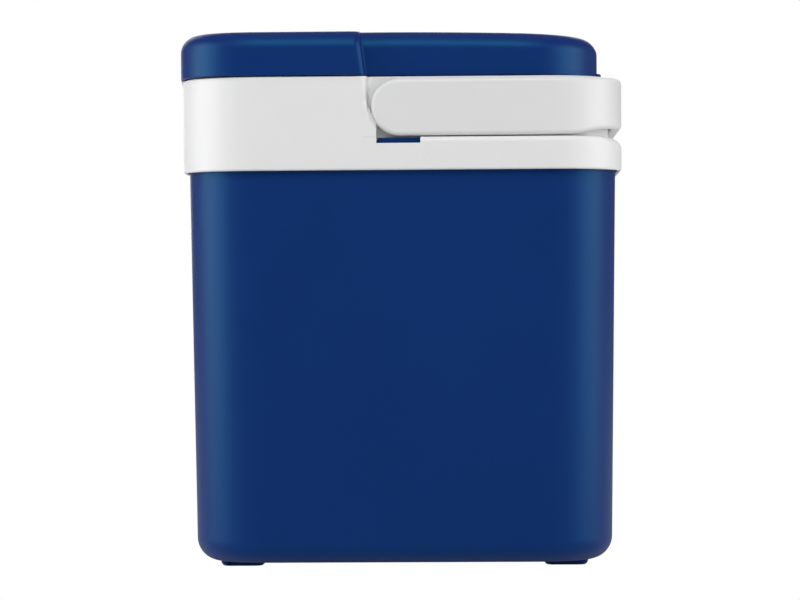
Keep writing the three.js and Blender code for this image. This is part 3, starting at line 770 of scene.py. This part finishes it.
faces = rings_faces(len(loops), m_count) + [tuple(reversed(f)) for f in ladder(m_count, 0)] + ladder(m_count, (len(loops) - 1) * m_count)
o_lid = make("lid_shell", Shape().add(verts, faces))
for s in (-1, 1):
    for t in (-1, 1):
        x0 = s * HINGE_X + t * KNUCKLE
        x = sorted((x0, x0 + t * (EAR_W + 0.9)))
        cut(o_lid, make("c", Shape().add(*rounded_box(x[0], x[1], 159.5, 176, 355, 372.3, 0.8))))
smooth_finish(o_lid)
own(o_lid, "lid", "blue_plastic", BLUE, "lid_cover", "lid_cover_front")

trim = Shape()
# finger lip: a bead along the lower front edge, with eased ends
loops = []
for x in np.concatenate([np.linspace(-140, -134, 7), np.linspace(-120, 120, 13), np.linspace(134, 140, 7)]):
    k = math.sqrt(max(1 - ((max(abs(x) - 134.0, 0.0)) / 6.05) ** 2, 0.0))
    front, z0, z1 = mix(-146.6, -150.0, k), mix(366.4, 365.3, k), mix(367.2, 368.2, k)
    r = 1.1 * k + 0.05
    pts = [(-145.8, z0 - 0.2)]
    pts += [(front + r - r * math.sin(a), z0 + r - r * math.cos(a)) for a in np.linspace(0, math.pi / 2, 6)]
    pts += [(front + r - r * math.cos(a), z1 - r + r * math.sin(a)) for a in np.linspace(0, math.pi / 2, 6)]
    pts += [(-145.8, z1 + 0.5)]
    loops.append(np.array([(x, y, z) for y, z in pts]))
v = np.vstack(loops)
m_count = len(loops[0])
trim.add(v, rings_faces(len(loops), m_count) + [tuple(range(m_count))[::-1], tuple(range(len(v) - m_count, len(v)))])
for s in (-1, 1):
    x0, x1 = s * HINGE_X - KNUCKLE, s * HINGE_X + KNUCKLE
    trim.add(*lathe_x([(HINGE_PIN_R + 0.3, x0), (HINGE_R - 0.5, x0), (HINGE_R - 0.15, x0 + 0.15), (HINGE_R, x0 + 0.5), (HINGE_R, x1 - 0.5), (HINGE_R - 0.15, x1 - 0.15), (HINGE_R - 0.5, x1), (HINGE_PIN_R + 0.3, x1), (HINGE_PIN_R + 0.3, x0)], HINGE_Y, HINGE_Z, 48))
for x, y in SCREWS.values():
    trim.add(*lathe_z([(1.8, 369.0), (3.7, 369.0), (4.0, 369.3), (4.0, 384.0), (1.8, 384.0), (1.8, 369.0)], x, y, 24))
own(smooth_finish(make("lid_trim", trim), 40), "lid", "blue_plastic", BLUE)

# ------------------------------------------------------------------ lid liner, foam, seal, screws
PLATE_F, PLATE_R, PLUG = (187.0, -144.3, 140.0, 63.0), (198.6, -147.2, 159.9, 57.0), (160.0, -124.0, 124.0, 20.0)


def plate_ring(d, z):
    return ring(PLATE_F, d, z, PLATE_R, d, z, 28.9, s_curve(11.6, 2.0, 1.0))


loops = [plate_ring(1.0, 368.5), plate_ring(0.3, 368.3), plate_ring(0.0, 367.9), plate_ring(0.0, 367.1), plate_ring(0.3, 366.7), plate_ring(1.0, 366.5)]
o_ll = make("lid_liner_moulding", Shape().add(*stack(loops)))
cut(o_ll, make("c", Shape().add(*stack([ring(PLUG, 0.8, 360.0), ring(PLUG, 0.8, 372.0)]))))
plug = lambda d, z: ring(PLUG, d, z)
loops = [plug(14.0, 353.0), plug(5.0, 353.0), plug(3.0, 354.5), plug(2.0, 366.0), plug(1.6, 367.6)]
loops += [plug(-1.6, 367.6), plug(-1.6, 366.45), plug(-0.6, 366.1), plug(-0.1, 365.3), plug(0.0, 364.3), plug(0.0, 357.0)]
for i in range(1, 9):
    a = math.pi / 2 * i / 8
    loops.append(plug(6.0 * (1 - math.cos(a)), 357.0 - 6.0 * math.sin(a)))
loops.append(plug(12.0, 351.0))
loops.append(plug(13.0, 351.3))
loops.append(plug(14.0, 351.9))
loops.append(plug(17.5, 351.9))
own(smooth_finish(make("lid_plug", Shape().add(*stack(loops)))), "lid", "liner_plastic", LINER)
smooth_finish(o_ll)
own(o_ll, "lid", "liner_plastic", LINER, "lid_liner", "lid_liner_front")

loops = [ring((150, -114, 114, 16), 0, 354.2), ring((157, -121, 121, 18), 0, 369.4), ring((174, -133, 144, 34), 0, 369.6)]
loops += [ring((174, -133, 144, 34), 0, 384.0), ring((174, -133, 144, 34), 3, 390.0), ring((174, -133, 144, 34), 9, 394.6), ring((174, -133, 144, 34), 30, 395.2)]
own(smooth_finish(make("lid_foam_block", Shape().add(*stack([lid_slope(l) for l in loops])))), "lid", "foam", FOAM, "lid_insulation")

seal = (173.0, -134.3, 134.3, 31.0)
loops = []
for a in np.linspace(0, 2 * math.pi, 20, endpoint=False):
    loops.append(ring(seal, 2.0 - 2.0 * math.copysign(abs(math.cos(a)) ** 0.7, math.cos(a)), 365.25 - 0.95 * math.copysign(abs(math.sin(a)) ** 0.7, math.sin(a))))
own(smooth_finish(make("seal_strip", Shape().add(*stack(loops, closed=True)))), "lid", "seal_rubber", RUBBER, "lid_seal")

for name, (x, y) in SCREWS.items():
    z = 364.5
    head = [(0, z), (1.2, z), (2.2, z + 0.08), (2.8, z + 0.25), (3.2, z + 0.6), (3.4, z + 1.1), (3.4, z + 1.7), (1.5, z + 1.7)]
    for k in range(10):  # thread
        head += [(1.35, z + 2.1 + 1.4 * k), (1.75, z + 2.6 + 1.4 * k)]
    head += [(1.2, z + 16.6), (0, z + 19)]
    o = make("screw_" + name, Shape().add(*lathe_z(head, x, y, 28)))
    cross = Shape()
    cross.add(*rounded_box(x - 1.9, x + 1.9, y - 0.42, y + 0.42, z - 1.0, z + 1.0, 0.12, 2))
    cut(o, make("cross", cross))
    cross = Shape()
    cross.add(*rounded_box(x - 0.42, x + 0.42, y - 1.9, y + 1.9, z - 1.0, z + 1.0, 0.12, 2))
    cut(o, make("cross", cross))
    own(smooth_finish(o), "lid", "steel", STEEL, "lid_screw_" + name)

for name, s in (("hinge_pin_left", -1), ("hinge_pin_right", 1)):
    h = KNUCKLE + 0.4 + EAR_W
    x0, x1 = s * HINGE_X - h, s * HINGE_X + h
    profile = [(0, x0), (1.3, x0), (1.7, x0 + 0.15), (HINGE_PIN_R, x0 + 0.5), (HINGE_PIN_R, x1 - 0.5), (1.7, x1 - 0.15), (1.3, x1), (0, x1)]
    own(smooth_finish(make("turned_" + name, Shape().add(*lathe_x(profile, HINGE_Y, HINGE_Z, 32)))), "chest", "steel", STEEL, name)


# ------------------------------------------------------------------ food compartment liner
def liner_outline(z, d=0.0):
    t = (z - FLOOR_Z) / (DECK_Z - FLOOR_Z)
    return tuple(mix(a, b, t) + k * d for a, b, k in zip(FLOOR, MOUTH, (-1, 1, -1, -1)))


loops = []
for i in range(0, 9):  # outside, from the floor up
    a = math.pi / 2 * (8 - i) / 8
    loops.append(ring(liner_outline(FLOOR_Z - LINER_WALL, -LINER_WALL), 10 * (1 - math.cos(a)), FLOOR_Z - LINER_WALL + 10 - 10 * math.sin(a)))
loops.insert(0, ring(liner_outline(FLOOR_Z - LINER_WALL, -LINER_WALL), 18.0, FLOOR_Z - LINER_WALL))
for z in (100, 200, 300, 350, FLANGE_Z[0]):
    loops.append(ring(liner_outline(z, -LINER_WALL), 0, z))
for d, z in ((0.6, FLANGE_Z[0]), (0.0, FLANGE_Z[0] + 0.5), (0.0, FLANGE_Z[1] - 0.5), (0.6, FLANGE_Z[1])):
    loops.append(ring(FLANGE, d, z))
loops.append(ring(FLANGE, 8.0, FLANGE_Z[1]))
for d, z in ((-3.0, FLANGE_Z[1]), (-1.6, 360.4), (-0.6, 359.6), (-0.1, 358.4)):
    loops.append(ring(liner_outline(360), d, z))
for z in (350, 300, 200, 100, 60, FLOOR_Z + 9):
    loops.append(ring(liner_outline(z), 0, z))
for i in range(0, 11):
    a = math.pi / 2 * i / 10
    loops.append(ring(liner_outline(FLOOR_Z), 9 * (1 - math.cos(a)), FLOOR_Z + 9 - 9 * math.sin(a)))
loops.append(ring(liner_outline(FLOOR_Z), 17.0, FLOOR_Z))
o_liner = make("compartment_liner", Shape().add(*stack(loops)))
smooth_finish(o_liner)
own(o_liner, "chest", "liner_plastic", LINER, "inner_liner")

# every carried-over CAD node gets its procedural material
for n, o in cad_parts.items():
    o.data.materials.clear()
    o.data.materials.append({"body_insulation": FOAM, "lid_insulation": FOAM}.get(n, WHITE))

# ------------------------------------------------------------------ stage
def stage_plane(name, size, z, material):
    mesh = bpy.data.meshes.new(name)
    s = size / 2
    mesh.from_pydata([(-s, -s, z), (s, -s, z), (s, s, z), (-s, s, z)], [], [(0, 1, 2, 3)])
    o = bpy.data.objects.new(name, mesh)
    bpy.context.scene.collection.objects.link(o)
    mesh.materials.append(material)
    return o


floor_mat = bpy.data.materials.new("studio_floor")
floor_mat.use_nodes = True
nt = floor_mat.node_tree
nt.nodes.clear()
out = node(nt, "ShaderNodeOutputMaterial")
bsdf = node(nt, "ShaderNodeBsdfPrincipled")
bsdf.inputs["Base Color"].default_value = (0.62, 0.62, 0.62, 1)
bsdf.inputs["Roughness"].default_value = 0.9
bsdf.inputs["Specular IOR Level"].default_value = 0.0
bsdf.inputs["Emission Color"].default_value = (1, 1, 1, 1)
bsdf.inputs["Emission Strength"].default_value = 0.12
glow = node(nt, "ShaderNodeEmission", Color=(1, 1, 1, 1), Strength=1.0)
choose = node(nt, "ShaderNodeMixShader")
ray = node(nt, "ShaderNodeLightPath")
nt.links.new(ray.outputs["Is Camera Ray"], choose.inputs[0])
nt.links.new(bsdf.outputs[0], choose.inputs[1])
nt.links.new(glow.outputs[0], choose.inputs[2])
nt.links.new(choose.outputs[0], out.inputs[0])
stage_plane("studio_floor", 60.0, 0.0, floor_mat)

world = bpy.data.worlds.new("studio")
bpy.context.scene.world = world
world.use_nodes = True
nt = world.node_tree
nt.nodes.clear()
wout = node(nt, "ShaderNodeOutputWorld")
seen = node(nt, "ShaderNodeBackground", Color=(1, 1, 1, 1), Strength=1.0)
fill = node(nt, "ShaderNodeBackground", Color=(1, 1, 1, 1), Strength=0.12)
pick = node(nt, "ShaderNodeMixShader")
path = node(nt, "ShaderNodeLightPath")
nt.links.new(path.outputs["Is Camera Ray"], pick.inputs[0])
nt.links.new(fill.outputs[0], pick.inputs[1])
nt.links.new(seen.outputs[0], pick.inputs[2])
nt.links.new(pick.outputs[0], wout.inputs[0])


def area(name, location, target, size, power, color=(1, 1, 1)):
    light = bpy.data.lights.new(name, "AREA")
    light.shape, light.size, light.size_y = "RECTANGLE", size[0], size[1]
    light.energy, light.color = power, color
    o = bpy.data.objects.new(name, light)
    bpy.context.scene.collection.objects.link(o)
    o.location = location
    o.rotation_euler = (Vector(target) - Vector(location)).to_track_quat("-Z", "Y").to_euler()
    return o


# the camera looks along +X; image left is +Y
area("front_high", (-2.2, -0.1, 2.3), (0, 0, 0.2), (2.4, 1.6), 46)
area("left_panel", (-0.5, 2.2, 0.7), (0, 0, 0.25), (1.8, 1.8), 36)
area("right_panel", (-0.5, -2.2, 0.7), (0, 0, 0.25), (1.8, 1.8), 30)
area("far_fill", (2.4, 0.3, 1.0), (0, 0, 0.2), (2.0, 1.6), 24)
area("top_panel", (0.2, 0, 2.2), (0, 0, 0.3), (2.0, 2.0), 3)

# ------------------------------------------------------------------ camera
YAW, ROLL, DIST, FOCAL = math.radians(1.7), math.radians(0.36), 2.4, 147.0
CX, CY_PX = 402.0, 300.0
cam = bpy.data.cameras.new("photo_camera")
cam.sensor_width, cam.lens = 36.0, FOCAL
cam.clip_start, cam.clip_end = 0.05, 100.0
camera = bpy.data.objects.new("photo_camera", cam)
bpy.context.scene.collection.objects.link(camera)
target = Vector((-0.2, -0.0018, 0.199))
look = Vector((math.cos(YAW), math.sin(YAW), 0.0))
camera.location = target - look * DIST
q = look.to_track_quat("-Z", "Y")
camera.rotation_mode = "QUATERNION"
camera.rotation_quaternion = q @ Matrix.Rotation(-ROLL, 3, "Z").to_quaternion()
bpy.context.scene.camera = camera
bpy.context.scene.view_settings.view_transform = "Standard"
bpy.context.scene.view_settings.look = "None"
